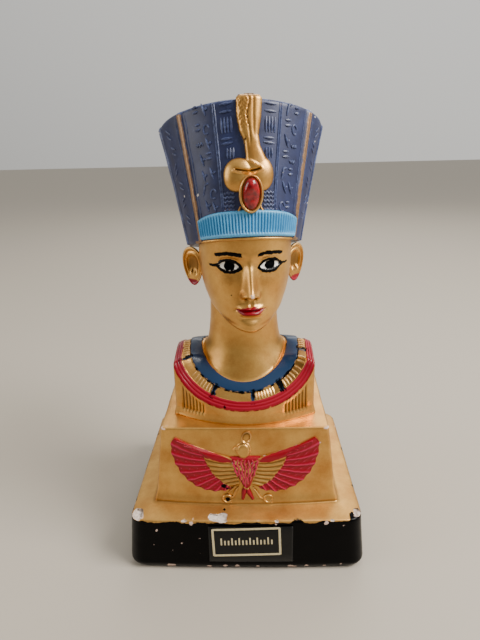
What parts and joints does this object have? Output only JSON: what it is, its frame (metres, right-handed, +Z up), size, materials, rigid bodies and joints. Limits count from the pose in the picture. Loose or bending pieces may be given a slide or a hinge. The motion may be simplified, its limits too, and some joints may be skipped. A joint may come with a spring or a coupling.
{
  "type": "egyptian queen bust",
  "caption": "Painted plaster souvenir bust of a queen in a tall tapering crown, cast in one piece with its stepped plinth, with a foil label on the plinth's front.",
  "frame": {"origin": "centre of the plinth's underside", "axes": "+Z up through the crown, -Y towards the viewer, the way the face looks, +X to the viewer's right"},
  "size_m": [0.069, 0.0613, 0.1287],
  "materials": {
    "painted_plaster": "satin",
    "label_foil": "gloss"
  },
  "bodies": {
    "root": {"queen_bust": "painted_plaster", "foil_label": "label_foil"}
  },
  "joints": []
}
